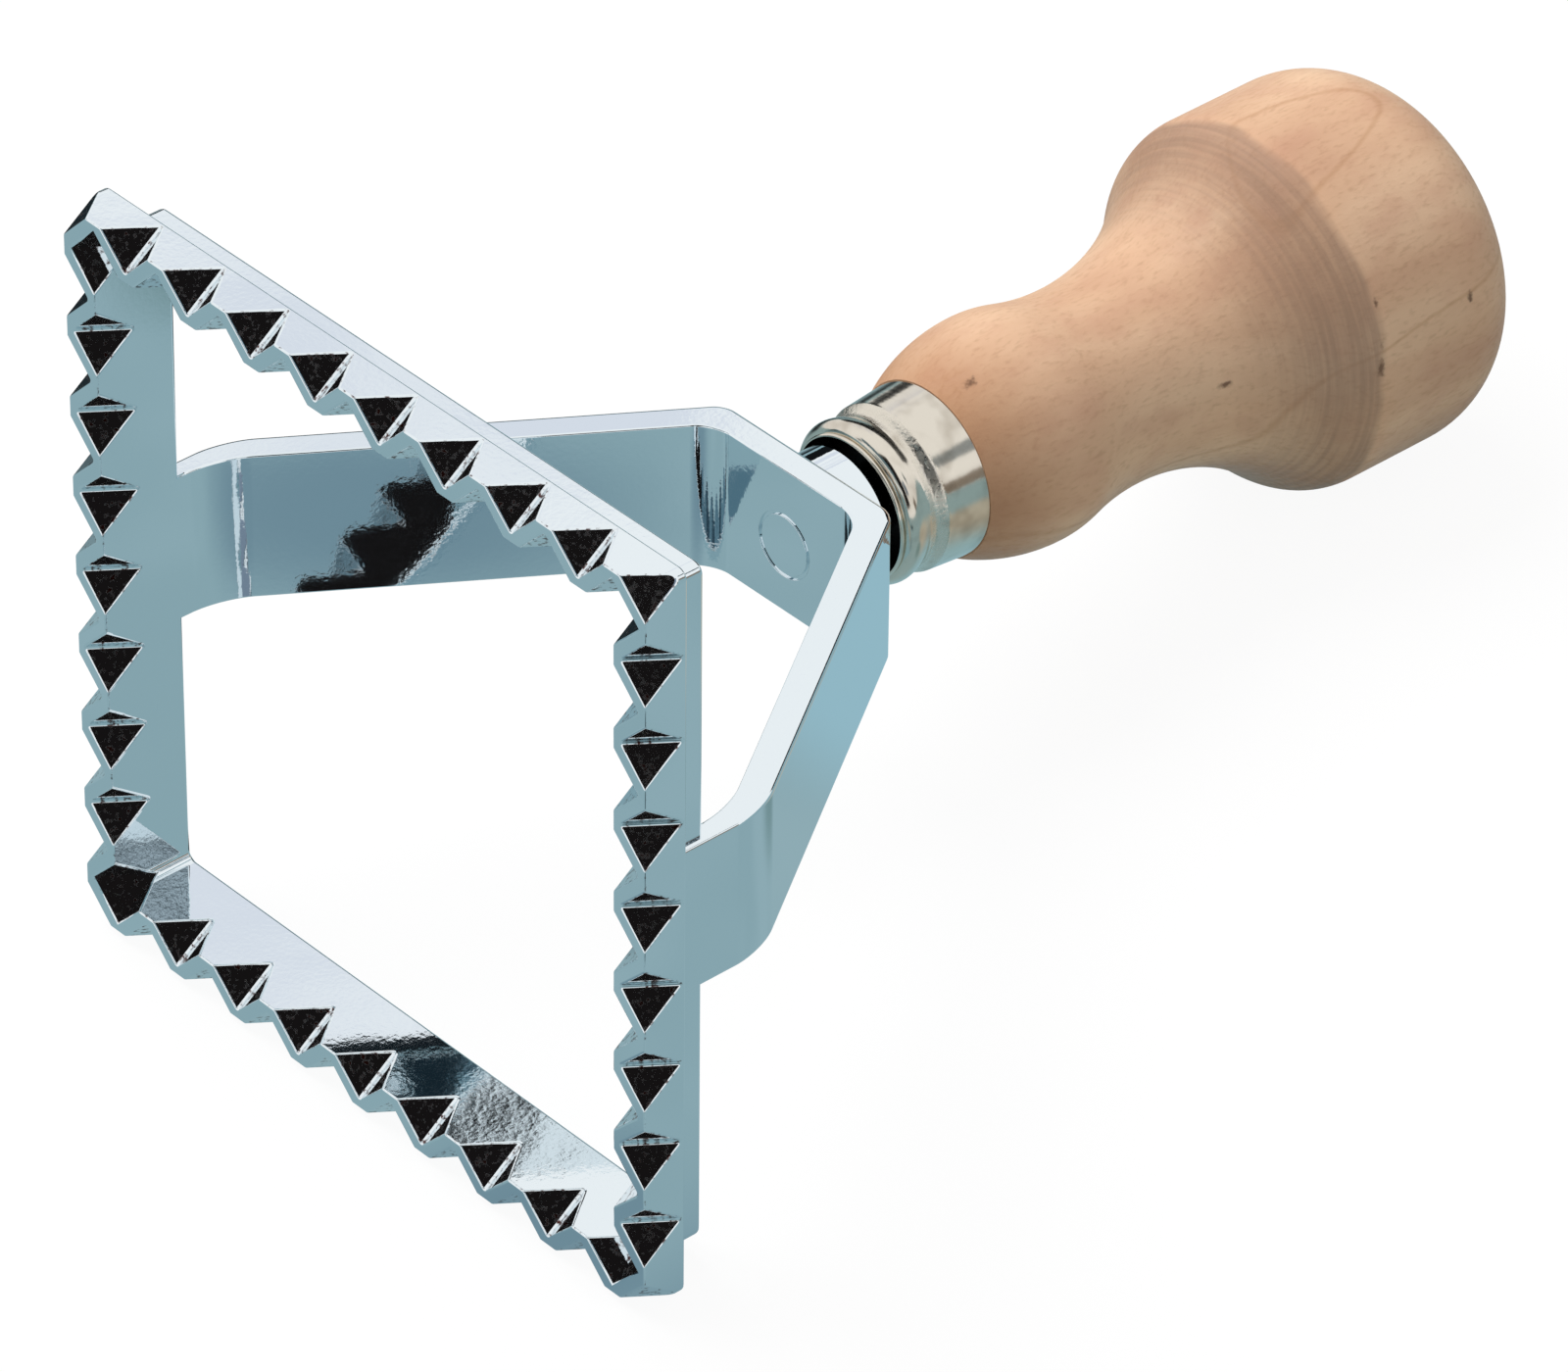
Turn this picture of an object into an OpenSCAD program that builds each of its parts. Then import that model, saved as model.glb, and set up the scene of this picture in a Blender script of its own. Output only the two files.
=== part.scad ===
// Square ravioli stamp: a cast and plated cutting ring on a bent yoke, a rolled
// ferrule and a turned wooden handle. Each piece is drawn standing on the
// cutting face, with the handle's axis along +Z. lay_down() then puts it at
// rest on its side, on the toothed wall's rear edge and the knob.

/* [Cutting ring] */
// Outside width of the square ring at the cutting face
ring_side = 75; // [68:1:82]
// Thickness of the toothed wall
wall_t = 4; // [3.7:0.1:5]
// Depth of the toothed wall along the handle's axis
wall_h = 4.55; // [4:0.05:7]
// Radius of the wall's outside corners
corner_r = 1; // [0.8:0.1:3]
// Radius in the corners of the ring's opening
opening_r = 1; // [0.8:0.1:2]
// Whole pitches of the toothing along one side
pitches = 9; // [8:1:10]
// Half the width of a notch at the cutting face
notch_half_w = 3.2; // [2.6:0.1:3.4]
// Radius in the bottom of a notch
notch_r = 0.45; // [0.2:0.05:0.8]
// Plain land between the end of a notch and the wall's rear edge
notch_land = 0.2; // [0.15:0.05:1]

/* [Rim] */
// Thickness of the rim behind the toothed wall
rim_t = 1.5; // [1:0.1:2.5]
// Height of the rim's rear edge above the cutting face
rim_h = 8.5; // [7:0.1:11]
// Radius of the rim's outside corners
rim_corner_r = 1.1; // [0.8:0.1:3]

/* [Yoke] */
// Width of the yoke's strap
strap_w = 15; // [13:0.1:20]
// Thickness of the strap at its feet
foot_t = 2.1; // [1.6:0.1:3]
// Thickness of the strap in its legs
leg_t = 2.9; // [2:0.1:3.5]
// Thickness of the strap under the boss
apex_t = 2.85; // [2:0.05:3.5]
// Height of the yoke's outer face above the cutting face
yoke_h = 51.6; // [46:0.1:56]
// Height at which the inside of a leg begins to lean in
foot_h = 12.75; // [12:0.05:18]
// Lean of a leg away from the handle's axis, in degrees
leg_lean = 33.9; // [30:0.1:35]
// Inside radius of the lower bends
low_in_r = 10; // [5:0.5:12]
// Outside radius of the lower bends
low_out_r = 10; // [5:0.5:14]
// Inside radius of the upper bends
top_in_r = 4; // [2:0.5:6]
// Outside radius of the upper bends
top_out_r = 2.5; // [1.5:0.5:8]
// Radius of the fillets between the strap's edges and the rim
foot_fillet_r = 1.2; // [0.5:0.1:3]

/* [Boss and tang] */
// Diameter of the boss on the yoke
boss_d = 12.6; // [11:0.1:13]
// Length of the boss
boss_len = 3.9; // [3:0.1:8]
// Diameter of the tang inside the handle
tang_d = 6.4; // [5:0.1:8]
// Length of the tang in front of the boss
tang_len = 28; // [20:1:36]
// Length of the taper at the tang's tip
tang_tip = 2; // [1:0.1:3]
// Diameter of the round witness mark inside the yoke
mark_d = 6.6; // [5:0.1:9]
// Width of the witness mark's groove
mark_w = 0.35; // [0.2:0.05:0.6]
// Depth of the witness mark's groove
mark_depth = 0.2; // [0.1:0.05:0.4]
// Distance of the witness mark below the handle's axis
mark_drop = 0.5; // [0:0.05:1]

/* [Ferrule] */
// Gap along the axis between the boss and the ferrule's lip
lip_gap = 0.8; // [0.4:0.1:2]
// Thickness of the ferrule's sheet metal
sheet_t = 0.5; // [0.3:0.05:0.7]
// Inside radius of the ferrule's open mouth
mouth_r = 6.7; // [6.4:0.1:7]
// Length of the rolled lip, from the mouth to the top of the bead
lip_len = 1.5; // [1:0.1:2]
// Outside radius of the bead
bead_r = 7.8; // [7.6:0.1:8.2]
// Length of the bead's slope down to the groove
bead_slope = 2.1; // [1.5:0.1:3]
// Outside radius in the rolled groove
groove_r = 7.35; // [7.2:0.05:7.5]
// Length of the groove's slope up to the band
groove_slope = 1.2; // [0.8:0.1:2]
// Outside radius where the smooth band begins
band_front_r = 8; // [7.8:0.05:8.2]
// Outside radius at the ferrule's rear rim
band_rear_r = 8.35; // [8.2:0.05:8.6]
// Length of the smooth band
band_len = 4.3; // [3.5:0.1:8]

/* [Handle] */
// Height of the wood's front edge above the ferrule's rear rim
wood_step = 0.1; // [0:0.05:0.2]
// Radius of the bulge behind the ferrule
bulge_r = 11; // [10:0.1:12]
// Distance from the ferrule to the middle of the bulge
bulge_pos = 9.4; // [8:0.1:12]
// Arc radius of the bulge's rear outline
bulge_arc_r = 13; // [11:0.5:20]
// Radius of the waist
waist_r = 9.65; // [8.5:0.05:9.9]
// Arc radius of the waist's outline
waist_arc_r = 25; // [18:0.5:28]
// Radius of the knob
knob_r = 18; // [16:0.1:20]
// Arc radius of the knob's shoulder
shoulder_arc_r = 5.5; // [4:0.5:8]
// Length of the knob's straight barrel
barrel_len = 9.7; // [6:0.1:16]
// Arc radius of the knob's far edge
edge_arc_r = 8.8; // [6:0.1:10]
// Radius of the domed end
dome_r = 39; // [30:1:60]

/* [Fits] */
// Clearance of the tang and of the spigot in their seats
fit_gap = 0.05; // [0.02:0.01:0.15]
// Free length of the bore past the end of the tang
bore_spare = 1; // [0.5:0.1:3]

/* [Hidden] */
$fn = 96;
// Degrees between neighbouring points of a computed arc
arc_step = 3;
// Overlap that joins two solids of one piece
sink = 0.5;
// Run of a cutting tool past the faces that it cuts
past = 1;

// Toothing: a notch rises from the cutting face to the land, over its depth
pitch = ring_side / pitches;
notch_h = wall_h - notch_land;
notch_lean = atan2(notch_half_w, notch_h);
notch_run = norm([notch_half_w, notch_h]);
notch_flank = atan2(notch_run, notch_h);

// Sharp corners of the yoke's side outlines, as [distance from the axis, height]
opening = ring_side - 2 * wall_t;
in_low = [opening / 2, foot_h];
in_top = leg_corner(in_low, yoke_h - apex_t);
out_low = [opening / 2 + foot_t, foot_h + (leg_t / cos(leg_lean) - foot_t) / tan(leg_lean)];
out_top = leg_corner(out_low, yoke_h);

// Stations along the handle's axis
boss_end = yoke_h + boss_len;
tang_end = boss_end + tang_len;
mouth_z = boss_end + lip_gap;
bead_z = mouth_z + lip_len;
groove_z = bead_z + bead_slope;
band_z = groove_z + groove_slope;
ferrule_end = band_z + band_len;

// Centres of the handle's arcs as [place along the axis, distance from it]
wood_rise = bulge_r - band_rear_r - wood_step;
bulge_front_arc_r = (pow(bulge_pos, 2) + pow(wood_rise, 2)) / (2 * wood_rise);
bulge_z = ferrule_end + bulge_pos;
bulge_c = [bulge_z, bulge_r - bulge_arc_r];
waist_out = waist_r + waist_arc_r;
waist_c = [bulge_z + leg_of(bulge_arc_r + waist_arc_r, waist_out - bulge_c[1]), waist_out];
shoulder_in = knob_r - shoulder_arc_r;
shoulder_c = [waist_c[0] + leg_of(waist_arc_r + shoulder_arc_r, waist_out - shoulder_in), shoulder_in];
edge_c = [shoulder_c[0] + barrel_len, knob_r - edge_arc_r];
dome_c = [edge_c[0] - leg_of(dome_r - edge_arc_r, edge_c[1]), 0];
bulge_turn = toward(bulge_c, waist_c);
shoulder_turn = toward(waist_c, shoulder_c);
dome_turn = toward(dome_c, edge_c);

// Rest on the side: one line touches the wall's rear edge and the knob's edge
rest_edge = [wall_h, ring_side / 2];
span = edge_c - rest_edge;
dip = atan2(-span[1], span[0]) - asin(edge_arc_r / norm(span));
lift = rest_edge[1] * cos(dip) + rest_edge[0] * sin(dip);
front_y = -ring_side / 2 * sin(dip);
dome_y = dome_c[0] * cos(dip) + dome_r;
edge_y = edge_c[0] * cos(dip) + edge_c[1] * sin(dip) + edge_arc_r;
rear_y = dip < dome_turn ? dome_y : edge_y;

// Where the line of a leg from its lower corner reaches a height
function leg_corner(low, height) = [low[0] - (height - low[1]) * tan(leg_lean), height];

// Other short side of a right triangle
function leg_of(long, short) = sqrt(pow(long, 2) - pow(short, 2));

// Direction from one centre to another, as an angle from the axis
function toward(a, b) = atan2(b[1] - a[1], b[0] - a[0]);

// Points of an arc about c, with the angle counted from the axis
function arc(c, r, from, to) =
    let (steps = max(2, ceil(abs(to - from) / arc_step)))
    [for (i = [0:steps])
        let (t = from + (to - from) * i / steps)
        c + r * [cos(t), sin(t)]];

// Half a cosine wave between two radii
function blend(z0, r0, z1, r1) =
    let (steps = 12)
    [for (i = [0:steps]) [z0 + (z1 - z0) * i / steps, r0 + (r1 - r0) * (1 - cos(180 * i / steps)) / 2]];

// Quarter of an ellipse from the mouth up to the top of the bead
function lip(z0, r0, z1, r1) =
    let (steps = 12)
    [for (i = [0:steps])
        let (t = 90 * i / steps)
        [z1 - (z1 - z0) * cos(t), r0 + (r1 - r0) * sin(t)]];

// Outline points [along, out] turned into the plane that rotate_extrude turns
function outline(points) = [for (p = points) [p[1], p[0]]];

// The whole tool tipped over from standing to lying, centred over the origin
module lay_down() {
    translate([0, -(front_y + rear_y) / 2, lift]) rotate([-90 - dip, 0, 0]) children();
}

// The same shape on all four sides of the ring
module four_sides() {
    for (turn = [0:90:270]) rotate([0, 0, turn]) children();
}

// Square with round corners
module rounded_square(side, r) {
    square([side, side - 2 * r], center = true);
    square([side - 2 * r, side], center = true);
    for (x = [-1, 1], y = [-1, 1]) translate([x, y] * (side / 2 - r)) circle(r);
}

// V-shaped cutter with a round bottom, along the valley of one notch. The
// valley starts at the origin and leans out towards +X as it rises.
module notch_cutter() {
    reach = notch_half_w + 4 * past;
    start = notch_r * pow(cos(notch_flank), 2) / sin(notch_flank);
    rotate([0, notch_lean, 0]) translate([0, 0, -past])
        linear_extrude(notch_run + 4 * past) {
            polygon([[start, -start * tan(notch_flank)], [reach, -reach * tan(notch_flank)],
                     [reach, reach * tan(notch_flank)], [start, start * tan(notch_flank)]]);
            translate([notch_r / sin(notch_flank), 0]) circle(notch_r);
        }
}

// Notches in the outside of one wall, one at each whole pitch
module outer_notches() {
    for (i = [1:pitches - 1])
        translate([ring_side / 2 - notch_half_w, i * pitch - ring_side / 2, 0]) notch_cutter();
}

// One notch in the inside of one wall, i and a half pitches along it
module inner_notch(i) {
    translate([ring_side / 2 - wall_t + notch_half_w, (i + 0.5) * pitch - ring_side / 2, 0])
        rotate([0, 0, 180]) notch_cutter();
}

// Notches in the inside of one wall, between its two corner notches
module inner_notches() {
    for (i = [1:pitches - 2]) inner_notch(i);
}

// Notch in one inside corner: what the last notches of both walls share, so
// that neither runs on through the other wall
module corner_notch() {
    intersection() {
        inner_notch(pitches - 1);
        rotate([0, 0, 90]) inner_notch(0);
    }
}

// Slanting cut across one outside corner, in the plane of its notch's flank
module corner_cutter() {
    corner = ring_side / sqrt(2);
    depth = notch_half_w / sqrt(2);
    slope = depth / notch_h;
    rotate([0, 0, 45]) translate([0, 2 * notch_half_w, 0]) rotate([90, 0, 0])
        linear_extrude(4 * notch_half_w)
            polygon([[corner - depth - past * slope, -past], [corner + 2 * past, -past],
                     [corner + 2 * past, notch_h + past], [corner + past * slope, notch_h + past]]);
}

// Plain wall of the ring, before its toothing is cut
module plain_wall() {
    linear_extrude(wall_h) difference() {
        rounded_square(ring_side, corner_r);
        rounded_square(opening, opening_r);
    }
}

// Thin rim that carries the wall's inside face on towards the handle
module rim() {
    translate([0, 0, wall_h - sink]) linear_extrude(rim_h - wall_h + sink) difference() {
        rounded_square(opening + 2 * rim_t, rim_corner_r);
        rounded_square(opening, opening_r);
    }
}

// Ring: toothed wall and rim. The notches are cut from both together, so that
// the rim doesn't fill the ends of the inside ones.
module toothed_ring() {
    difference() {
        union() {
            plain_wall();
            rim();
        }
        four_sides() {
            outer_notches();
            inner_notches();
            corner_notch();
            corner_cutter();
        }
    }
}

// Everything under one side outline of the yoke, with its corners rounded
module under_outline(low, top, low_r, top_r) {
    low_cut = low_r * tan(leg_lean / 2);
    top_cut = top_r * tan(45 - leg_lean / 2);
    along = [-sin(leg_lean), cos(leg_lean)];
    half = [[low[0], 0], low - [0, low_cut], low + low_cut * along, top - top_cut * along, top - [top_cut, 0]];
    polygon(concat(half, [for (i = [len(half) - 1:-1:0]) [-half[i][0], half[i][1]]]));
    for (side = [-1, 1]) {
        translate([side * (low[0] - low_r), low[1] - low_cut]) circle(low_r);
        translate([side * (top[0] - top_cut), top[1] - top_r]) circle(top_r);
    }
}

// Side view of the strap, from the wall's rear face up
module yoke_side() {
    intersection() {
        difference() {
            under_outline(out_low, out_top, low_out_r, top_out_r);
            under_outline(in_low, in_top, low_in_r, top_in_r);
        }
        translate([-ring_side / 2, wall_h - sink]) square([ring_side, yoke_h]);
    }
}

// Fillets between the edges of one foot and the rim's rear face
module foot_fillets() {
    for (side = [0, 1]) mirror([0, side, 0])
        translate([opening / 2, strap_w / 2, rim_h]) rotate([90, 0, 90]) linear_extrude(rim_t)
            difference() {
                translate([-sink, -sink]) square(foot_fillet_r + sink);
                translate([foot_fillet_r, foot_fillet_r]) circle(foot_fillet_r);
            }
}

// Yoke: one bent strap over the ring's opening
module yoke() {
    translate([0, strap_w / 2, 0]) rotate([90, 0, 0]) linear_extrude(strap_w) yoke_side();
    for (side = [0, 1]) mirror([side, 0, 0]) foot_fillets();
}

// Round boss on the yoke, and the tang that the handle is pressed onto
module boss_and_tang() {
    translate([0, 0, yoke_h - sink]) cylinder(h = boss_len + sink, d = boss_d);
    translate([0, 0, boss_end - sink]) cylinder(h = tang_len - tang_tip + sink, d = tang_d);
    translate([0, 0, tang_end - tang_tip]) cylinder(h = tang_tip, d1 = tang_d, d2 = tang_d - tang_tip);
}

// Shallow round groove that an ejector pin left on the inside of the yoke
module witness_mark() {
    translate([0, mark_drop, yoke_h - apex_t - past]) linear_extrude(past + mark_depth) difference() {
        circle(d = mark_d);
        circle(d = mark_d - 2 * mark_w);
    }
}

// Cast head: toothed ring, rim, yoke, boss and tang in one piece
module cutter_head() {
    color([0.72, 0.78, 0.82]) lay_down() difference() {
        union() {
            toothed_ring();
            yoke();
            boss_and_tang();
        }
        witness_mark();
    }
}

// Ferrule: one sheet metal sleeve with a rolled lip, a bead and a groove
module ferrule() {
    outside = concat(lip(mouth_z, mouth_r, bead_z, bead_r),
                     blend(bead_z, bead_r, groove_z, groove_r),
                     blend(groove_z, groove_r, band_z, band_front_r),
                     [[ferrule_end, band_rear_r]]);
    inside = concat(lip(mouth_z + sheet_t, mouth_r, bead_z, bead_r - sheet_t),
                    blend(bead_z, bead_r - sheet_t, groove_z, groove_r - sheet_t),
                    blend(groove_z, groove_r - sheet_t, band_z, band_front_r - sheet_t),
                    [[ferrule_end, band_rear_r - sheet_t]]);
    last = len(inside) - 1;
    color([0.74, 0.70, 0.64]) lay_down()
        rotate_extrude() polygon(outline(concat(outside, [for (i = [last:-1:0]) inside[i]])));
}

// Outside of the handle: spigot, bulge, waist, shoulder, barrel and dome
function handle_outline() =
    concat([[band_z, 0], [band_z, band_front_r - sheet_t - fit_gap],
            [ferrule_end, band_rear_r - sheet_t - fit_gap]],
           arc([bulge_z, bulge_r - bulge_front_arc_r], bulge_front_arc_r,
               90 + asin(bulge_pos / bulge_front_arc_r), 90),
           arc(bulge_c, bulge_arc_r, 90, bulge_turn),
           arc(waist_c, waist_arc_r, bulge_turn - 180, shoulder_turn),
           arc(shoulder_c, shoulder_arc_r, shoulder_turn + 180, 90),
           arc(edge_c, edge_arc_r, 90, dome_turn),
           arc(dome_c, dome_r, dome_turn, 0));

// Handle: turned from one piece of wood, with a blind bore for the tang
module handle() {
    color([0.86, 0.71, 0.54]) lay_down() difference() {
        rotate_extrude() polygon(outline(handle_outline()));
        translate([0, 0, band_z - past])
            cylinder(h = tang_end + bore_spare - band_z + past, d = tang_d + 2 * fit_gap);
    }
}

cutter_head();
ferrule();
handle();
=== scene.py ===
"""Square ravioli stamp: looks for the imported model.

The cutting head is a plated casting, the ferrule rolled sheet metal and the
handle turned wood. Everything is in metres and lies where the CAD model lies:
on its side, on the rear edge of the toothed wall and on the knob.
"""

import logging
import math
from dataclasses import dataclass, field
from enum import Enum
from typing import Any, Optional, Sequence

import bmesh
import bpy
from mathutils import Matrix, Vector


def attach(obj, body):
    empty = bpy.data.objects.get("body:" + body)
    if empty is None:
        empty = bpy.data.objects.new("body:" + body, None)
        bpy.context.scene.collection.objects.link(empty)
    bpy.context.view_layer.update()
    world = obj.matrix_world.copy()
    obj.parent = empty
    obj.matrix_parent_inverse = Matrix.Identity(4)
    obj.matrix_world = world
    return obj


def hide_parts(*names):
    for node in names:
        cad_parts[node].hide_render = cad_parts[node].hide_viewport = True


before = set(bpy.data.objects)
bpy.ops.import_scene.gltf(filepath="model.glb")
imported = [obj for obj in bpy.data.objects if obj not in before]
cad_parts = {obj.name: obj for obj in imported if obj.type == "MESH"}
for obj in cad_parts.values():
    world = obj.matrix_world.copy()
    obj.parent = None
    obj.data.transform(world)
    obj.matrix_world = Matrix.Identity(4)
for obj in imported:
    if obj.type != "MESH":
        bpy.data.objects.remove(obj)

LOG = logging.getLogger("ravioli_stamp")
MM = 0.001
# Millimetres within which corners are one, and within which an edge lies at a level
SAME = 0.001
NEAR = 0.05
# Faces that turn less than this are one
FLAT = math.radians(0.2)

Point = tuple[float, float]
Triple = tuple[float, float, float]
Shape = bmesh.types.BMesh
Edge = bmesh.types.BMEdge
Piece = bpy.types.Object
Tree = bpy.types.NodeTree
Node = bpy.types.Node
Socket = bpy.types.NodeSocket
Source = Node | Socket

COLOUR = {"data_type": "RGBA"}
TIMES = {"operation": "MULTIPLY"}


# How the tool lies

@dataclass(frozen=True)
class Lie:
    """Place of the tool's own axes in the scene.

    The tool's axes are x across the ring, a along the handle from the cutting
    face, and u up in the ring, all in millimetres.
    """

    dip: float = math.radians(9.901)
    along: float = -59.0008
    lift: float = 37.7238

    def matrix(self) -> Matrix:
        """Return the matrix from (x, u, a) in millimetres to scene metres."""
        cos, sin = math.cos(self.dip), math.sin(self.dip)
        turn = Matrix(((1, 0, 0, 0), (0, sin, cos, self.along), (0, cos, -sin, self.lift), (0, 0, 0, 1)))
        return Matrix.Scale(MM, 4) @ turn

    def point(self, x: float, a: float, u: float) -> Vector:
        """Return the scene point of a tool point given in millimetres."""
        return self.matrix() @ Vector((x, u, a))

    def direction(self, x: float, a: float, u: float) -> Vector:
        """Return the unit scene direction of a tool direction."""
        return (self.matrix().to_3x3() @ Vector((x, u, a))).normalized()


LIE = Lie()


# Colours and nodes

def srgb(code: str) -> tuple[float, float, float, float]:
    """Turn an sRGB hex value into the linear colour that Blender's sockets take.

    Args:
        code: Six hex digits after a #.

    Returns:
        Linear red, green and blue, and an alpha of 1.
    """
    parts = [int(code[i:i + 2], 16) / 255 for i in (1, 3, 5)]
    red, green, blue = (p / 12.92 if p <= 0.04045 else ((p + 0.055) / 1.055) ** 2.4 for p in parts)
    return red, green, blue, 1.0


def add_node(tree: Tree, kind: str, settings: Optional[dict[str, Any]] = None,
             inputs: Optional[dict[Any, Any]] = None) -> Node:
    """Add one node with its settings, socket values and incoming links.

    Args:
        tree: Node tree that gets the node.
        kind: Node type, such as "ShaderNodeMix".
        settings: Attributes of the node itself.
        inputs: What its inputs get, in the form that connect takes.

    Returns:
        The new node.
    """
    node = tree.nodes.new(kind)
    for name, value in (settings or {}).items():
        setattr(node, name, value)
    connect(tree, node, inputs or {})
    return node


def connect(tree: Tree, node: Node, inputs: dict[Any, Any]) -> None:
    """Link or set some of a node's inputs.

    Args:
        tree: The node's tree.
        node: The node.
        inputs: For an input's name or number a value, another node's output, or
            another node, which stands for its first output in use.
    """
    for name, value in inputs.items():
        socket = (node.inputs[name] if isinstance(name, int)
                  else next(s for s in node.inputs if s.name == name and s.enabled))
        if isinstance(value, Node):
            value = next(output for output in value.outputs if output.enabled)
        if isinstance(value, Socket):
            tree.links.new(value, socket)
        else:
            socket.default_value = value


@dataclass(frozen=True)
class Step:
    """A soft step: as a value runs from start to end, the share runs from low to high."""

    start: float
    end: float
    low: float = 0.0
    high: float = 1.0


@dataclass(frozen=True)
class Grain:
    """Noise whose grains have a real size, in millimetres.

    A stretch below 1 makes the grains longer along that axis.
    """

    size: float
    stretch: Triple = (1.0, 1.0, 1.0)
    detail: float = 2.0

    def draw(self, tree: Tree, place: Source) -> Node:
        """Draw the noise on places in metres, as a value around 0.5."""
        axes = add_node(tree, "ShaderNodeMapping", None, {"Scale": self.stretch, "Vector": place})
        return add_node(tree, "ShaderNodeTexNoise", None,
                        {"Scale": 1 / (self.size * MM), "Detail": self.detail, "Vector": axes})


def confine(tree: Tree, *limits: tuple[Source, Step]) -> Node:
    """Put values through soft steps and multiply what the steps give.

    Args:
        tree: Node tree that gets the steps.
        limits: Pairs of a value and its step.

    Returns:
        The share that all the steps leave.
    """
    shares = [add_node(tree, "ShaderNodeMapRange", {"interpolation_type": "SMOOTHSTEP"},
                       {"Value": value, "From Min": step.start, "From Max": step.end,
                        "To Min": step.low, "To Max": step.high}) for value, step in limits]
    result = shares[0]
    for share in shares[1:]:
        result = add_node(tree, "ShaderNodeMath", TIMES, {0: result, 1: share})
    return result


def paint(tree: Tree, base: Any, code: str, *limits: tuple[Source, Step]) -> Node:
    """Lay a colour over another one, where all of its limits let it.

    Args:
        tree: Node tree that gets the layer.
        base: Colour underneath, as a node or as linear values.
        code: sRGB hex value of the new colour.
        limits: Pairs of a value and its step.

    Returns:
        The node that gives the mixed colour.
    """
    share = confine(tree, *limits)
    return add_node(tree, "ShaderNodeMix", COLOUR, {"Factor": share, "A": base, "B": srgb(code)})


def reach_from(tree: Tree, place: Source, middle: Triple, size: Triple) -> Socket:
    """Measure the distance from a point.

    Args:
        tree: Node tree that gets the pattern.
        place: Places in metres.
        middle: The point, in millimetres.
        size: Millimetres along each axis that count as a distance of 1.

    Returns:
        The distance.
    """
    scale = [1 / (length * MM) for length in size]
    shift = [-value / length for value, length in zip(middle, size)]
    local = add_node(tree, "ShaderNodeMapping", None, {"Scale": scale, "Location": shift, "Vector": place})
    return add_node(tree, "ShaderNodeVectorMath", {"operation": "LENGTH"}, {0: local}).outputs["Value"]


def add_relief(tree: Tree, layers: Sequence[tuple[Source, float]]) -> Node:
    """Lay bumps over one another.

    Args:
        tree: Node tree that gets the bumps.
        layers: Pairs of height pattern and depth in millimetres, lowest first.

    Returns:
        The last bump, which gives the bent normal.
    """
    below: dict[str, Any] = {}
    for height, depth in layers:
        bump = add_node(tree, "ShaderNodeBump", None,
                        {"Strength": 1.0, "Distance": depth * MM, "Height": height} | below)
        below = {"Normal": bump}
    return bump


def new_material(name: str, kind: str = "ShaderNodeBsdfPrincipled") -> tuple[bpy.types.Material, Tree, Node]:
    """Start a material with one shader.

    Args:
        name: Name of the material.
        kind: Node type of its shader.

    Returns:
        The material, its node tree and the shader node.
    """
    material = bpy.data.materials.new(name)
    material.use_nodes = True
    tree = material.node_tree
    tree.nodes.clear()
    shader = add_node(tree, kind)
    add_node(tree, "ShaderNodeOutputMaterial", None, {"Surface": shader})
    return material, tree, shader


def tool_axes(tree: Tree) -> tuple[Node, Socket]:
    """Turn Object coordinates to the tool's own (x, a, u), still in metres.

    Args:
        tree: Node tree of a material on a piece that lies in its place.

    Returns:
        The turned places, and the distance along the handle's axis by itself.
    """
    shift = LIE.matrix().inverted().translation * MM
    place = add_node(tree, "ShaderNodeMapping", None, {
        "Rotation": (LIE.dip, 0.0, 0.0), "Location": (shift.x, shift.z, shift.y),
        "Vector": add_node(tree, "ShaderNodeTexCoord").outputs["Object"]})
    return place, add_node(tree, "ShaderNodeSeparateXYZ", None, {"Vector": place}).outputs["Y"]


# Finishes

@dataclass(frozen=True)
class ChromePlate:
    """Bright chrome over a zinc die casting.

    The plating is a mirror, and the casting under it is not quite flat, so
    reflections waver over a few millimetres and the skin shows fine pits. A
    little dark reddish residue is left in the notches, on the flanks that lean
    towards the dough.
    """

    name: str = "Chrome plated zinc casting"
    colour: str = "#E6EEF2"
    residue: str = "#48201A"
    roughness: float = 0.035
    # Waves, ripples and pits, each with its depth in mm
    skin: tuple[tuple[Grain, float], ...] = (
        (Grain(7.0, detail=1.0), 0.02), (Grain(1.3, detail=1.0), 0.0016), (Grain(0.5), 0.0034))
    crumbs: Grain = Grain(0.5, detail=3.0)
    crumbs_share: Step = Step(0.52, 0.7)
    in_teeth: Step = Step(4.6 * MM, 4.2 * MM)
    # By the part of a face's normal that lies along the axis
    leaning: Step = Step(-0.15, -0.3)
    not_flat: Step = Step(-0.8, -0.65)
    metal_under_residue: Step = Step(0.0, 1.0, 1.0, 0.82)

    def build(self) -> bpy.types.Material:
        """Build the material."""
        material, tree, shader = new_material(self.name)
        place, along = tool_axes(tree)
        normal = add_node(tree, "ShaderNodeNewGeometry").outputs["True Normal"]
        facing = add_node(tree, "ShaderNodeVectorMath", {"operation": "DOT_PRODUCT"},
                          {0: normal, 1: LIE.direction(0.0, 1.0, 0.0)}).outputs["Value"]
        dirt = confine(tree, (self.crumbs.draw(tree, place), self.crumbs_share), (along, self.in_teeth),
                       (facing, self.leaning), (facing, self.not_flat))
        connect(tree, shader, {
            "Base Color": add_node(tree, "ShaderNodeMix", COLOUR,
                                   {"Factor": dirt, "A": srgb(self.colour), "B": srgb(self.residue)}),
            "Metallic": confine(tree, (dirt, self.metal_under_residue)),
            "Roughness": self.roughness,
            "Normal": add_relief(tree, [(grain.draw(tree, place), depth) for grain, depth in self.skin]),
        })
        return material


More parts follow.
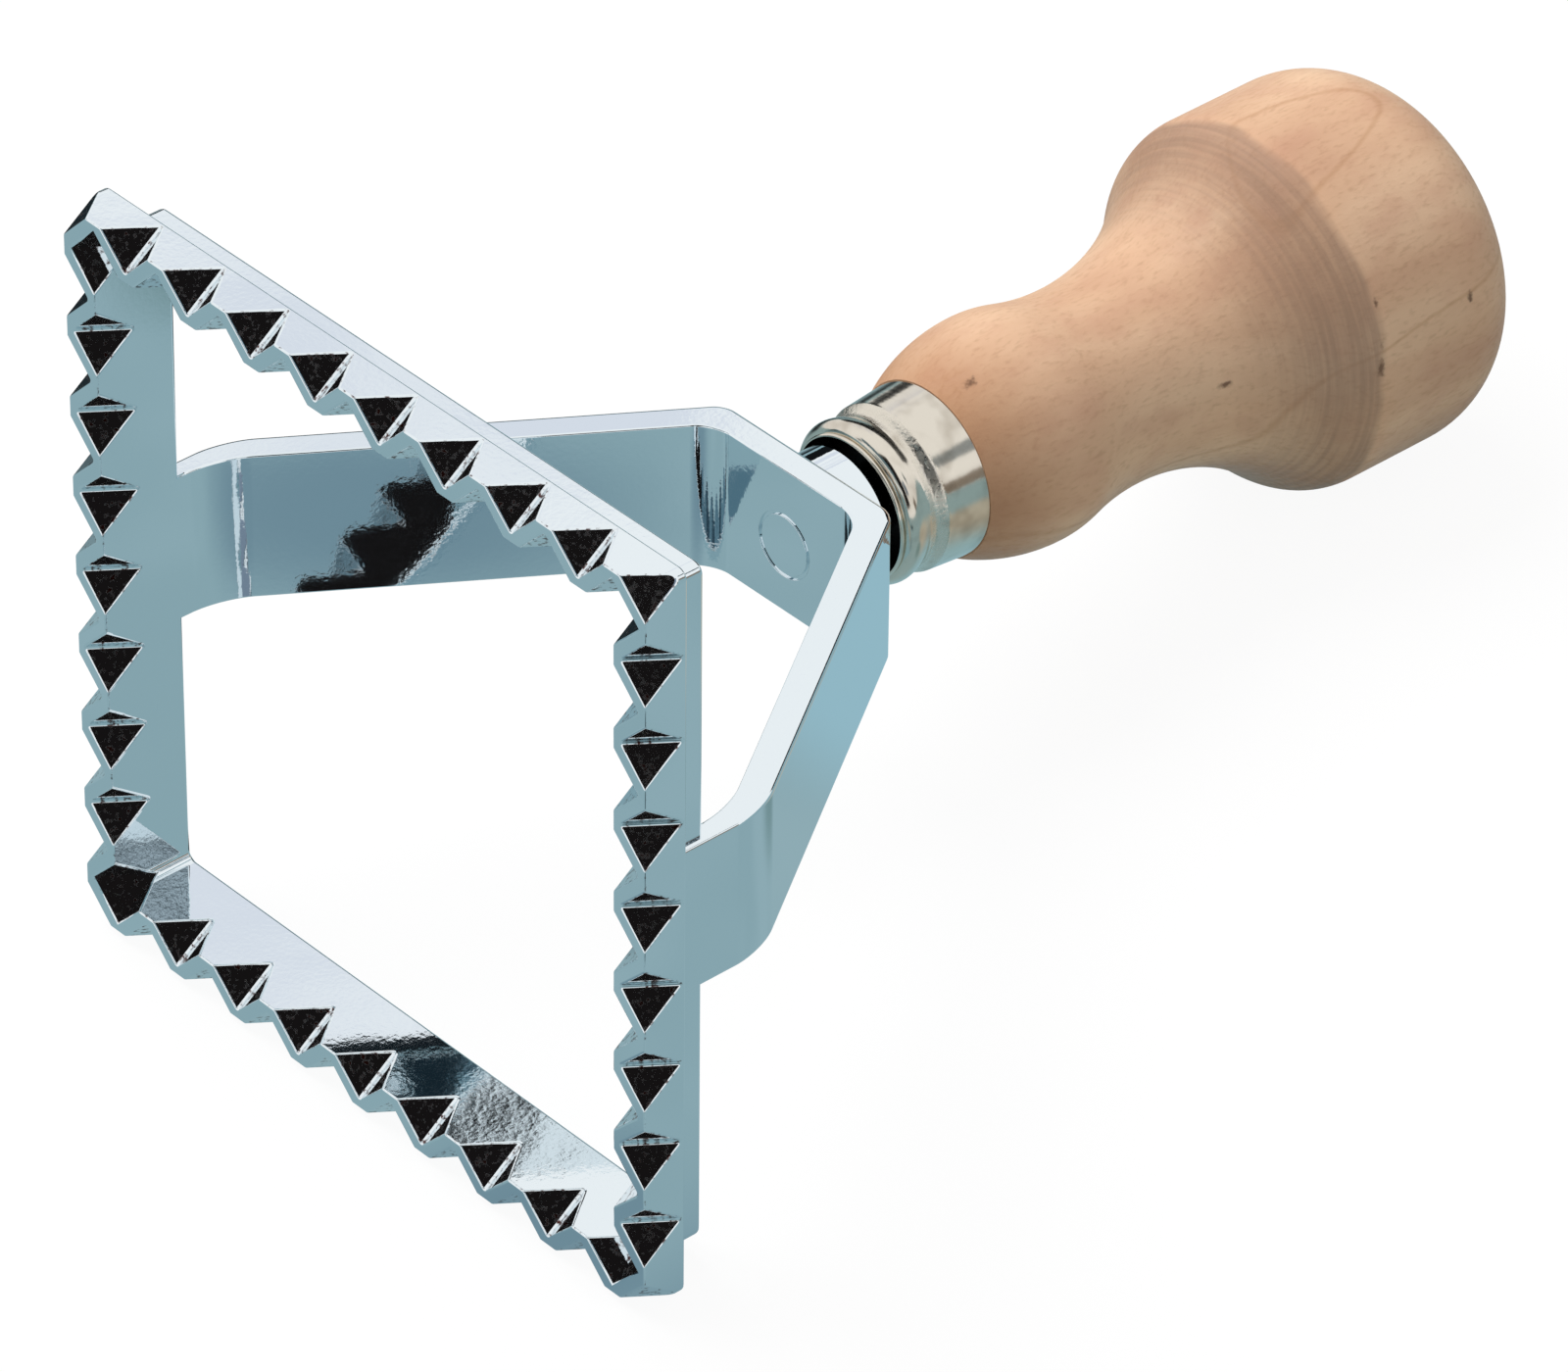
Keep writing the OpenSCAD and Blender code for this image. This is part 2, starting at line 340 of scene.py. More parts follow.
@dataclass(frozen=True)
class NickelSheet:
    """Nickel plated sheet steel, rolled on a lathe.

    Nickel is warmer and duller than chrome, rolling leaves faint rings around
    the sleeve, and the bottom of its groove has stayed rough.
    """

    name: str = "Nickel plated rolled steel"
    colour: str = "#DED7CA"
    stain: str = "#BDB4A6"
    stains: Grain = Grain(3.2)
    stain_share: Step = Step(0.45, 0.75)
    # Dents and turning rings, each with its depth in mm
    skin: tuple[tuple[Grain, float], ...] = (
        (Grain(3.0), 0.03), (Grain(0.3, (0.03, 1.0, 0.03)), 0.005))
    groove_start: Step = Step(59.2 * MM, 59.6 * MM)
    groove_end: Step = Step(61.2 * MM, 60.8 * MM)
    crust: Grain = Grain(0.35, detail=3.0)
    crust_depth: float = 0.06
    roughness: Step = Step(0.1, 0.6, 0.14, 0.34)

    def build(self) -> bpy.types.Material:
        """Build the material."""
        material, tree, shader = new_material(self.name)
        place, along = tool_axes(tree)
        groove = confine(tree, (along, self.groove_start), (along, self.groove_end))
        crust = add_node(tree, "ShaderNodeMath", TIMES, {0: groove, 1: self.crust.draw(tree, place)})
        relief = [(grain.draw(tree, place), depth) for grain, depth in self.skin]
        connect(tree, shader, {
            "Base Color": paint(tree, srgb(self.colour), self.stain,
                                (self.stains.draw(tree, place), self.stain_share)),
            "Metallic": 1.0,
            "Roughness": confine(tree, (crust, self.roughness)),
            "Normal": add_relief(tree, relief + [(crust, self.crust_depth)]),
        })
        return material


@dataclass(frozen=True)
class SleeveInsideShade:
    """Steel inside the sleeve, near black as painted shade for the shade inside it, and dull because the
    plating did not reach it.
    """

    name: str = "Steel with painted shade inside the sleeve"
    # Painted shade: near black, for the shade inside the sleeve
    colour: str = "#2A2623"
    mottle: Grain = Grain(1.5, detail=3.0)
    roughness: Step = Step(0.3, 0.7, 0.45, 0.65)

    def build(self) -> bpy.types.Material:
        """Build the material."""
        material, tree, shader = new_material(self.name)
        mottle = self.mottle.draw(tree, tool_axes(tree)[0])
        connect(tree, shader, {"Base Color": srgb(self.colour), "Metallic": 1.0,
                               "Roughness": confine(tree, (mottle, self.roughness))})
        return material


@dataclass(frozen=True)
class Knot:
    """One small dark mark in the wood, at a tool point (x, a, u) in millimetres."""

    place: Triple
    size: Triple


@dataclass(frozen=True)
class TurnedWood:
    """Turned and sealed beech.

    A pale pinkish tan with fine fibres along the handle, short dark flecks, thin
    growth lines, a greyish burnished band round the knob's shoulder where the
    tool rubbed, and a thin satin seal. Its front end inside the sleeve is painted
    near black as shade.
    """

    name: str = "Turned sealed beech"
    tones: tuple[tuple[float, str], ...] = ((0.32, "#C5987A"), (0.5, "#D5AC8B"), (0.68, "#E2BD9C"))
    figure: Grain = Grain(8.0, (1.0, 0.22, 1.0), 4.0)
    fleck: str = "#9C7152"
    fibres: Grain = Grain(0.4, (1.0, 0.35, 1.0), 4.0)
    fibre_depth: float = 0.035
    fleck_share: Step = Step(0.48, 0.75, 0.0, 0.26)
    blush: str = "#C7977B"
    blushes: Grain = Grain(3.6, (1.0, 0.6, 1.0), 4.0)
    blush_share: Step = Step(0.45, 0.72, 0.0, 0.45)
    growth: str = "#B5865F"
    years: Grain = Grain(30.0, (1.0, 0.4, 1.0), 1.0)
    year_count: float = 5.0
    year_line: Step = Step(0.03, 0.0, 0.0, 0.4)
    # The rubbed band along the axis, with an edge that wanders
    rubbed: str = "#947560"
    band_front: Step = Step(92.2 * MM, 103.7 * MM)
    band_rear: Step = Step(106.1 * MM, 105.0 * MM)
    wander: Grain = Grain(7.0)
    wander_depth: float = 2.4
    turning: Grain = Grain(0.4, (0.03, 1.0, 0.03), 5.0)
    turning_depth: float = 0.012
    turning_share: Step = Step(0.3, 0.7, 0.55, 0.8)
    wear: Grain = Grain(14.0, (1.0, 0.6, 1.0), 4.0)
    wear_share: Step = Step(0.3, 0.6, 0.75, 1.0)
    # Darker, redder brown towards the ferrule
    ferrule_side_tone: str = "#A9744C"
    ferrule_side_reach: Step = Step(74.4 * MM, 65.4 * MM, 0.0, 0.62)
    # Painted shade: the front end inside the sleeve turns near black
    sleeve_shade: str = "#1C1410"
    sleeve_shade_reach: Step = Step(61.9 * MM, 61.6 * MM)
    knot: str = "#6B4A33"
    rag: Grain = Grain(0.4)
    rag_depth: float = 1.6
    knot_share: Step = Step(2.1, 1.0, 0.0, 0.9)
    knots: tuple[Knot, ...] = (
        Knot((17.4, 104.0, 2.4), (0.5, 0.35, 0.9)),
        Knot((16.9, 104.3, 4.4), (0.4, 0.25, 0.6)),
        Knot((15.8, 104.6, 8.3), (0.35, 0.22, 0.5)),
        Knot((10.3, 91.6, 2.5), (0.5, 0.9, 0.3)),
        Knot((17.3, 115.1, 5.1), (0.3, 0.35, 0.7)),
        Knot((2.6, 68.2, 9.2), (0.5, 0.8, 0.5)),
    )
    roughness: Step = Step(0.3, 0.7, 0.44, 0.58)

    def build(self) -> bpy.types.Material:
        """Build the material."""
        material, tree, shader = new_material(self.name)
        place, along = tool_axes(tree)
        fibres, turning = self.fibres.draw(tree, place), self.turning.draw(tree, place)
        colour = paint(tree, self.base_tone(tree, place), self.fleck, (fibres, self.fleck_share))
        colour = paint(tree, colour, self.blush, (self.blushes.draw(tree, place), self.blush_share))
        colour = paint(tree, colour, self.growth, (self.off_year(tree, place), self.year_line))
        edge = add_node(tree, "ShaderNodeMath", {"operation": "MULTIPLY_ADD"},
                        {0: self.wander.draw(tree, place), 1: self.wander_depth * MM, 2: along})
        colour = paint(tree, colour, self.rubbed, (edge, self.band_front), (edge, self.band_rear),
                       (turning, self.turning_share), (self.wear.draw(tree, place), self.wear_share))
        colour = paint(tree, colour, self.ferrule_side_tone, (along, self.ferrule_side_reach))
        rag = self.rag.draw(tree, place)
        for knot in self.knots:
            reach = add_node(tree, "ShaderNodeMath", {"operation": "MULTIPLY_ADD"},
                             {0: rag, 1: self.rag_depth, 2: reach_from(tree, place, knot.place, knot.size)})
            colour = paint(tree, colour, self.knot, (reach, self.knot_share))
        connect(tree, shader, {
            # Painted shade on the front end inside the sleeve
            "Base Color": paint(tree, colour, self.sleeve_shade, (along, self.sleeve_shade_reach)),
            "Roughness": confine(tree, (fibres, self.roughness)),
            "Normal": add_relief(tree, [(fibres, self.fibre_depth), (turning, self.turning_depth)]),
        })
        return material

    def base_tone(self, tree: Tree, place: Source) -> Node:
        """Colour the wood's broad figure, from its dark to its light tone.

        Args:
            tree: The material's node tree.
            place: Tool axes in metres.

        Returns:
            The node that gives the colour.
        """
        tone = add_node(tree, "ShaderNodeValToRGB", None, {"Fac": self.figure.draw(tree, place)})
        tone.color_ramp.elements.new(1.0)
        for element, (stop, code) in zip(tone.color_ramp.elements, self.tones):
            element.position, element.color = stop, srgb(code)
        return tone

    def off_year(self, tree: Tree, place: Source) -> Node:
        """Measure how far a place is from the nearest growth line.

        Args:
            tree: The material's node tree.
            place: Tool axes in metres.

        Returns:
            The node that gives the distance, in shares of a year.
        """
        years = add_node(tree, "ShaderNodeMath", TIMES, {0: self.years.draw(tree, place), 1: self.year_count})
        share = add_node(tree, "ShaderNodeMath", {"operation": "FRACT"}, {0: years})
        offset = add_node(tree, "ShaderNodeMath", {"operation": "SUBTRACT"}, {0: share, 1: 0.5})
        return add_node(tree, "ShaderNodeMath", {"operation": "ABSOLUTE"}, {0: offset})


# Shapes

def link_mesh(bm: Shape, name: str) -> Piece:
    """Turn a bmesh into an object of the scene.

    Args:
        bm: Shape in metres. It is freed.
        name: Name of the new object.

    Returns:
        The new object.
    """
    mesh = bpy.data.meshes.new(name)
    bm.to_mesh(mesh)
    bm.free()
    piece = bpy.data.objects.new(name, mesh)
    bpy.context.scene.collection.objects.link(piece)
    return piece


def finish_mesh(bm: Shape, name: str, crease: float = 30.0, lay: bool = True) -> Piece:
    """Turn a bmesh in tool millimetres into an object that lies in its place.

    Args:
        bm: Shape in (x, u, a) millimetres. It is freed.
        name: Name of the new object.
        crease: Edges that turn more than this, in degrees, stay sharp.
        lay: Whether to move the shape from tool millimetres to scene metres.

    Returns:
        The new object, at the origin, with its place in its mesh.
    """
    if lay:
        bmesh.ops.transform(bm, matrix=LIE.matrix(), verts=bm.verts)
    bmesh.ops.recalc_face_normals(bm, faces=bm.faces)
    for face in bm.faces:
        face.smooth = True
    for edge in bm.edges:
        edge.smooth = edge.calc_face_angle(math.pi) < math.radians(crease)
    return link_mesh(bm, name)


def raised_loop(bm: Shape, half: float, radius: float, low: float, high: float,
                steps: int = 8) -> tuple[list[Edge], list[Edge]]:
    """Raise a wall on a square loop with round corners.

    Args:
        bm: Mesh that gets the wall.
        half: Half the square's side.
        radius: Radius of its corners.
        low: Level of the loop along the handle's axis.
        high: Level of the wall's other edge.
        steps: Segments in each corner.

    Returns:
        The edges of the low loop and of the high one.
    """
    square = bmesh.ops.create_grid(bm, x_segments=1, y_segments=1, size=half,
                                   matrix=Matrix.Translation((0, 0, low)))
    bmesh.ops.bevel(bm, geom=square["verts"], offset=radius, offset_type="OFFSET",
                    affect="VERTICES", segments=steps, profile=0.5, material=-1)
    face = next(f for f in bm.faces
                if len(f.verts) > 4 * steps - 1 and abs(f.calc_center_median().z - low) < SAME / 10)
    loop = list(face.edges)
    bmesh.ops.delete(bm, geom=[face], context="FACES_ONLY")
    grown = bmesh.ops.extrude_edge_only(bm, edges=loop)["geom"]
    raised = [g for g in grown if isinstance(g, bmesh.types.BMVert)]
    bmesh.ops.translate(bm, vec=(0, 0, high - low), verts=raised)
    top = [g for g in grown if isinstance(g, Edge) and set(g.verts) <= set(raised)]
    return loop, top


def add_hull(bm: Shape, corners: Sequence[Triple], turn: Matrix) -> None:
    """Add one convex cutter from its corners.

    Args:
        bm: Mesh that gets the cutter.
        corners: Corners in (x, u, a) millimetres.
        turn: Matrix that turns them to their side of the ring.
    """
    verts = [bm.verts.new(turn @ Vector(corner)) for corner in corners]
    bmesh.ops.convex_hull(bm, input=verts, use_existing_faces=False)


def combine(base: Piece, others: Sequence[tuple[str, Piece]]) -> Shape:
    """Combine solids exactly and return the result as clean flat faces.

    Args:
        base: First solid. It is removed afterwards.
        others: Pairs of operation and solid, in order. They are removed too.

    Returns:
        The combined solid.
    """
    for operation, other in others:
        step = base.modifiers.new(other.name, "BOOLEAN")
        step.operation = operation
        step.solver = "EXACT"
        step.object = other
    bpy.context.view_layer.update()
    result = base.evaluated_get(bpy.context.evaluated_depsgraph_get())
    mesh = bpy.data.meshes.new_from_object(result)
    bm = bmesh.new()
    bm.from_mesh(mesh)
    for unused in [base] + [other for _, other in others]:
        bpy.data.objects.remove(unused)
    bpy.data.meshes.remove(mesh)
    bmesh.ops.remove_doubles(bm, verts=bm.verts, dist=SAME)
    bmesh.ops.dissolve_degenerate(bm, dist=SAME, edges=bm.edges)
    bmesh.ops.dissolve_limit(bm, angle_limit=FLAT, verts=bm.verts, edges=bm.edges, delimit=set())
    return bm


def arc(centre: Point, radius: float, start: float, end: float, step: float = 2.0) -> list[Point]:
    """Return points of an arc in the (a, r) plane.

    Args:
        centre: Centre of the arc as (a, r) in millimetres.
        radius: Radius in millimetres.
        start: First angle in degrees, counted from the handle's axis.
        end: Last angle in degrees.
        step: Largest angle between two points, in degrees.

    Returns:
        Points from start to end, both included.
    """
    steps = max(2, math.ceil(abs(end - start) / step))
    angles = (math.radians(start + (end - start) * i / steps) for i in range(steps + 1))
    return [(centre[0] + radius * math.cos(t), centre[1] + radius * math.sin(t)) for t in angles]


def wave(start: Point, end: Point, steps: int = 12) -> list[Point]:
    """Return half a cosine wave between two (a, r) points."""
    parts = (i / steps for i in range(steps + 1))
    return [(start[0] + (end[0] - start[0]) * t,
             start[1] + (end[1] - start[1]) * (1 - math.cos(math.pi * t)) / 2) for t in parts]


def quarter(start: Point, end: Point, steps: int = 12) -> list[Point]:
    """Return a quarter of an ellipse that ends level in the (a, r) plane."""
    turns = (math.pi / 2 * i / steps for i in range(steps + 1))
    return [(end[0] - (end[0] - start[0]) * math.cos(t),
             start[1] + (end[1] - start[1]) * math.sin(t)) for t in turns]


def turned(outline: Sequence[Point], closed: bool, around: int = 144) -> Shape:
    """Turn an outline around the handle's axis.

    Args:
        outline: Points (a, r) in millimetres. An end on the axis closes there.
        closed: Whether the outline's last point joins its first.
        around: Number of steps around the axis.

    Returns:
        The shape in (x, u, a) millimetres.
    """
    bm = bmesh.new()
    verts = [bm.verts.new((r, 0.0, a)) for a, r in outline]
    pairs = list(zip(verts, verts[1:])) + ([(verts[-1], verts[0])] if closed else [])
    edges = [bm.edges.new(pair) for pair in pairs]
    bmesh.ops.spin(bm, geom=verts + edges, cent=(0, 0, 0), axis=(0, 0, 1), angle=math.tau,
                   steps=around, use_merge=True, use_duplicate=False)
    bmesh.ops.remove_doubles(bm, verts=bm.verts, dist=SAME / 2)
    return bm


class NotchSide(Enum):
    """Side of the wall that a notch is cut from, with the way in which its valley runs out."""

    OUTSIDE = 1.0
    INSIDE = -1.0


@dataclass(frozen=True)
class EdgeRounding:
    """Widths of the rounding along the casting's edges, in millimetres."""

    teeth: float = 0.16
    wall_rear: float = 0.2
    rim_rear: float = 0.3
    mark: float = 0.04
    yoke_outside: float = 0.42
    yoke_inside: float = 0.16
    elsewhere: float = 0.25
    widest: float = 0.5
    least_turn: float = 25.0
    segments: int = 3


@dataclass
class CutterHead:
    """Toothed ring, rim, bent yoke, boss and tang, cast in one piece.

    All sizes are in millimetres. The toothing is a zigzag ridge: notches from
    outside stand at whole pitches and notches from inside halfway between.
    """

    side: float = 75.0
    wall: float = 4.0
    wall_depth: float = 4.55
    wall_corner: float = 1.0
    rim: float = 1.5
    rim_depth: float = 8.5
    rim_corner: float = 1.1
    opening_corner: float = 1.0
    pitches: int = 9
    notch: float = 3.2
    land: float = 0.2
    valley_round: float = 0.45
    strap: float = 15.0
    foot: float = 2.1
    leg: float = 2.9
    apex: float = 2.85
    yoke: float = 51.6
    foot_height: float = 12.75
    lean: float = 33.9
    low_bend: float = 10.0
    top_in_bend: float = 4.0
    top_out_bend: float = 2.5
    boss: float = 12.6
    boss_length: float = 3.9
    tang: float = 6.4
    tang_length: float = 28.0
    mark: float = 6.6
    mark_width: float = 0.35
    mark_depth: float = 0.2
    mark_drop: float = 0.5
    wedge_gap: float = 0.07
    overlap: float = 0.5
    spread: float = 0.3
    flat_weight: int = 100
    rounding: EdgeRounding = field(default_factory=EdgeRounding)
    finish: ChromePlate = field(default_factory=ChromePlate)

    @property
    def half(self) -> float:
        """Half the ring's side."""
        return self.side / 2

    @property
    def inner(self) -> float:
        """Half the ring's opening."""
        return self.side / 2 - self.wall

    @property
    def wedge_levels(self) -> tuple[float, float]:
        """Lowest and highest level of the wedges along the axis, well past the toothed wall."""
        return -1.0, self.wall_depth + 0.8

    @property
    def slope(self) -> float:
        """Run of a notch's valley outwards for each millimetre along the axis."""
        return self.notch / (self.wall_depth - self.land)

    def ring(self) -> Piece:
        """Raise the ring's three walls from rounded loops and fill the flat faces between them."""
        bm = bmesh.new()
        rim = self.inner + self.rim
        low_inner, high_inner = raised_loop(bm, self.inner, self.opening_corner, 0.0, self.rim_depth)
        low_wall, high_wall = raised_loop(bm, self.half, self.wall_corner, 0.0, self.wall_depth)
        low_rim, high_rim = raised_loop(bm, rim, self.rim_corner, self.wall_depth, self.rim_depth)
        for pair in (low_inner + low_wall, high_wall + low_rim, high_rim + high_inner):
            bmesh.ops.triangle_fill(bm, edges=pair, use_beauty=True)
        return finish_mesh(bm, "ring_solid", lay=False)

    def notches(self) -> Piece:
        """Make the wedges that cut the zigzag toothing, kept clear of each other."""
        bm = bmesh.new()
        pitch = self.side / self.pitches
        wing = pitch / 2 - self.wedge_gap
        for number in range(4):
            turn = Matrix.Rotation(math.pi / 2 * number, 4, "Z")
            for i in range(1, self.pitches):
                self.wedge(bm, turn, i * pitch - self.half, NotchSide.OUTSIDE, wing)
            for i in range(1, self.pitches - 1):
                self.wedge(bm, turn, (i + 0.5) * pitch - self.half, NotchSide.INSIDE, wing)
            self.corner_pocket(bm, turn, self.half - pitch / 2, wing)
            self.corner_cut(bm, turn)
        return finish_mesh(bm, "notch_wedges", lay=False)

    def wedge(self, bm: Shape, turn: Matrix, x: float, side: NotchSide, wing: float) -> None:
        """Add one V-shaped wedge with a rounded valley.

        Args:
            bm: Mesh that gets it.
            turn: Matrix to its side of the ring.
            x: Place along that side.
            side: Side of the wall that it cuts from.
            wing: Half the wedge's width.
        """
        way = side.value
        valley = self.half - self.notch if side is NotchSide.OUTSIDE else self.inner + self.notch
        lean = math.atan(self.slope)
        flank = math.atan(1 / math.cos(lean))
        steps = 3
        turns = [(math.pi / 2 - flank) * step / steps for step in range(-steps, steps + 1)]
        bottom = [(self.valley_round * math.sin(t),
                   self.valley_round * (1 / math.sin(flank) - math.cos(t)) / math.cos(lean)) for t in turns]
        corners = []
        for level in self.wedge_levels:
            start = valley + way * self.slope * level
            corners += [(x + aside, start + way * out, level) for aside, out in bottom]
            corners += [(x - wing, start + way * wing, level), (x + wing, start + way * wing, level)]
        add_hull(bm, corners, turn)

    def corner_pocket(self, bm: Shape, turn: Matrix, centre: float, wing: float) -> None:
        """Add the notch in one inside corner, which both walls share.

        Args:
            bm: Mesh that gets it.
            turn: Matrix to its corner.
            centre: Distance of the corner's notches from the ring's middle.
            wing: Run of the pocket into the opening.
        """
        low = self.wedge_levels[0]
        valley = self.inner + self.notch - self.slope * low
        tip = (self.inner + self.notch - centre) / self.slope
        corners = [(valley, centre, low), (centre, valley, low), (centre - wing, valley - wing, low),
                   (valley - wing, centre - wing, low), (centre, centre, tip),
                   (centre - wing, centre - wing, tip)]
        add_hull(bm, corners, turn)

    def corner_cut(self, bm: Shape, turn: Matrix) -> None:
        """Add the slanting cut across one outside corner.

        Args:
            bm: Mesh that gets it.
            turn: Matrix to its corner.
        """
        reach, spare = 2 * self.notch, 0.6
        corners = []
        for level in self.wedge_levels:
            total = 2 * self.half - self.notch + self.slope * level
            for along in (-self.notch - spare, self.notch + spare):
                near = (total / 2 + along, total / 2 - along)
                corners += [(near[0], near[1], level), (near[0] + reach, near[1] + reach, level)]
        add_hull(bm, corners, turn)

    def bent_strap(self) -> Piece:
        """Make the yoke from its side outline, with its bends rounded."""
        tan, cos = math.tan(math.radians(self.lean)), math.cos(math.radians(self.lean))
        in_low = (self.inner, self.foot_height)
        in_top = (in_low[0] - (self.yoke - self.apex - in_low[1]) * tan, self.yoke - self.apex)
        out_low = (self.inner + self.foot, self.foot_height + (self.leg / cos - self.foot) / tan)
        out_top = (out_low[0] - (self.yoke - out_low[1]) * tan, self.yoke)
        start = self.wall_depth - self.overlap
        half_lean, half_rest = math.radians(self.lean / 2), math.radians(45 - self.lean / 2)
        side = [((self.inner, start), 0.0), (in_low, self.low_bend * math.tan(half_lean)),
                (in_top, self.top_in_bend * math.tan(half_rest))]
        outer = [(out_top, self.top_out_bend * math.tan(half_rest)),
                 (out_low, self.low_bend * math.tan(half_lean)),
                 ((self.inner + self.foot, start), 0.0)]
        path = side + [((-x, a), cut) for (x, a), cut in reversed(side)]
        path += [((-x, a), cut) for (x, a), cut in reversed(outer)] + outer
        bm = bmesh.new()
        verts = [bm.verts.new((x, -self.strap / 2, a)) for (x, a), _ in path]
        bm.faces.new(verts)
        cuts = [(vert, cut) for vert, (_, cut) in zip(verts, path) if cut]
        for cut in sorted({round(c, 6) for _, c in cuts}):
            bmesh.ops.bevel(bm, geom=[v for v, c in cuts if round(c, 6) == cut], offset=cut,
                            offset_type="OFFSET", affect="VERTICES", segments=16, profile=0.5, material=-1)
        grown = bmesh.ops.extrude_face_region(bm, geom=bm.faces[:])
        bmesh.ops.translate(bm, vec=(0, self.strap, 0),
                            verts=[g for g in grown["geom"] if isinstance(g, bmesh.types.BMVert)])
        return finish_mesh(bm, "strap_solid", lay=False)

    def cylinder(self, name: str, diameter: float, start: float, end: float) -> Piece:
        """Make one round solid on the handle's axis.

        Args:
            name: Name of the solid.
            diameter: Its diameter.
            start: Level of its front end along the axis.
            end: Level of its rear end.

        Returns:
            The solid, in tool millimetres.
        """
        bm = bmesh.new()
        bmesh.ops.create_cone(bm, cap_ends=True, segments=96, radius1=diameter / 2, radius2=diameter / 2,
                              depth=end - start, matrix=Matrix.Translation((0, 0, (start + end) / 2)))
        return finish_mesh(bm, name, lay=False)

    def mark_ring(self) -> Piece:
        """Make the thin tube that cuts the ejector pin's mark inside the yoke."""
        level = self.yoke - self.apex
        start, end = level - 1.0, level + self.mark_depth
        outer, inner = self.mark / 2, self.mark / 2 - self.mark_width
        bm = turned(((start, outer), (end, outer), (end, inner), (start, inner)), closed=True, around=64)
        bmesh.ops.translate(bm, vec=(0, -self.mark_drop, 0), verts=bm.verts)
        return finish_mesh(bm, "mark_tube", lay=False)

    def softness(self, edge: Edge) -> float:
        """Return how wide one edge is rounded, in millimetres.

        Args:
            edge: Edge of the head, in tool millimetres.

        Returns:
            Width of the rounding, or 0 for an edge that stays as it is.
        """
        turn = math.degrees(edge.calc_face_angle_signed(0.0))
        middle = (edge.verts[0].co + edge.verts[1].co) / 2
        side = max(abs(middle.x), abs(middle.y))
        if turn < self.rounding.least_turn or middle.z > self.yoke + self.boss_length + 2 * NEAR:
            return 0.0
        if middle.z < self.wall_depth - NEAR and side > self.inner - self.spread:
            return self.rounding.teeth
        if abs(middle.z - self.wall_depth) < NEAR and side > self.half - self.overlap:
            return self.rounding.wall_rear
        if abs(middle.z - self.rim_depth) < NEAR and side > self.inner - 2 * NEAR:
            return self.rounding.rim_rear
        if abs(middle.z - self.yoke + self.apex) < self.spread and middle.xy.length < self.mark:
            return self.rounding.mark
        if abs(abs(middle.y) - self.strap / 2) < NEAR:
            return self.strap_softness(edge, middle)
        return self.rounding.elsewhere

    def strap_softness(self, edge: Edge, middle: Vector) -> float:
        """Return the rounding of one long edge of the yoke, which is wider outside than inside.

        Args:
            edge: Edge between the yoke's narrow side and one of its wide faces.
            middle: Middle of the edge.

        Returns:
            Width of the rounding in millimetres.
        """
        wide_face = min(edge.link_faces, key=lambda face: abs(face.normal.y))
        outwards = wide_face.normal.dot(Vector((middle.x, 0.0, middle.z - self.foot_height)))
        return self.rounding.yoke_outside if outwards > 0 else self.rounding.yoke_inside

    def build(self) -> Piece:
        """Build the casting and round all its outer edges."""
        boss_end = self.yoke + self.boss_length
        bm = combine(self.ring(), (
            ("DIFFERENCE", self.notches()),
            ("UNION", self.bent_strap()),
            ("UNION", self.cylinder("boss_solid", self.boss, self.yoke - self.overlap, boss_end)),
            ("UNION", self.cylinder("tang_solid", self.tang, boss_end - self.overlap,
                                    boss_end + self.tang_length)),
            ("DIFFERENCE", self.mark_ring()),
        ))
        LOG.info("cast head: %d faces, %d open edges, %.0f cubic mm", len(bm.faces),
                 sum(not e.is_manifold for e in bm.edges), bm.calc_volume())
        bmesh.ops.recalc_face_normals(bm, faces=bm.faces)
        weight = bm.edges.layers.float.new("bevel_weight_edge")
        for edge in bm.edges:
            edge[weight] = self.softness(edge) / self.rounding.widest
        piece = finish_mesh(bm, "cast_head", crease=self.rounding.least_turn)
        soften = piece.modifiers.new("soft_edges", "BEVEL")
        soften.width = self.rounding.widest * MM
        soften.segments = self.rounding.segments
        soften.limit_method = "WEIGHT"
        soften.use_clamp_overlap = False
        flatten = piece.modifiers.new("flat_faces", "WEIGHTED_NORMAL")
        flatten.mode = "FACE_AREA"
        flatten.weight = self.flat_weight
        flatten.keep_sharp = True
        piece.data.materials.append(self.finish.build())
        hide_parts("cutter_head")
        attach(piece, "root")
        return piece


